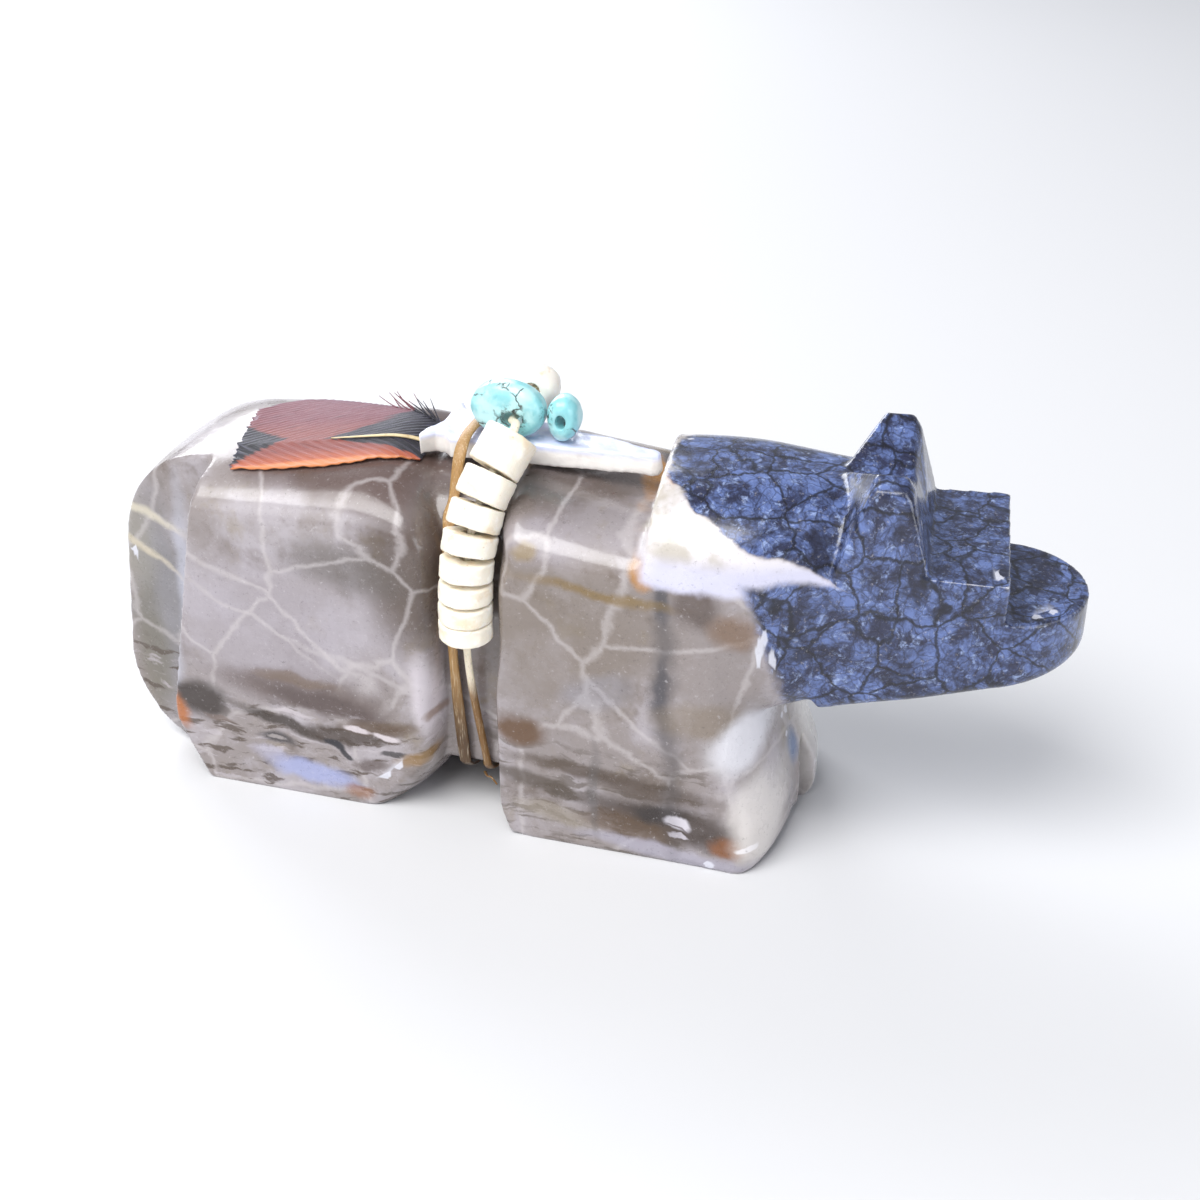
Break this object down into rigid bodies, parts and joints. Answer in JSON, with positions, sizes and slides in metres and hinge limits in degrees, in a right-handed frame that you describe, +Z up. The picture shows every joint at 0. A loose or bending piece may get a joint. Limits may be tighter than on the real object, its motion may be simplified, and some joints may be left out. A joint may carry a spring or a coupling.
{
  "type": "wolf fetish carving",
  "caption": "Small carved stone wolf standing on four stub legs, with a shell arrowhead, feather, turquoise and a strand of shell discs tied on its back.",
  "frame": {"origin": "centre of the whole object's box, at the bottom, in the plane of the soles", "axes": "+X towards the head, +Y to the animal's left, +Z up"},
  "size_m": [0.0704, 0.0206, 0.0318],
  "materials": {
    "wolf_stone": "polished mottled stone",
    "shell_arrowhead": "ground and polished white shell",
    "feather": "soft feather vane",
    "turquoise": "tumbled turquoise",
    "white_bead": "polished white shell bead",
    "heishi_shell": "ground shell",
    "sinew_pale": "waxed sinew thread",
    "sinew_brown": "waxed sinew thread"
  },
  "bodies": {
    "root": {"wolf_stone": "wolf_stone", "shell_arrowhead": "shell_arrowhead", "feather": "feather", "turquoise_bead_large": "turquoise", "turquoise_bead_small": "turquoise", "white_bead": "white_bead", "heishi_1": "heishi_shell", "heishi_2": "heishi_shell", "heishi_3": "heishi_shell", "heishi_4": "heishi_shell", "heishi_5": "heishi_shell", "heishi_6": "heishi_shell", "heishi_7": "heishi_shell", "heishi_8": "heishi_shell", "sinew_bead_strand": "sinew_pale", "sinew_wrap": "sinew_brown"}
  },
  "joints": []
}
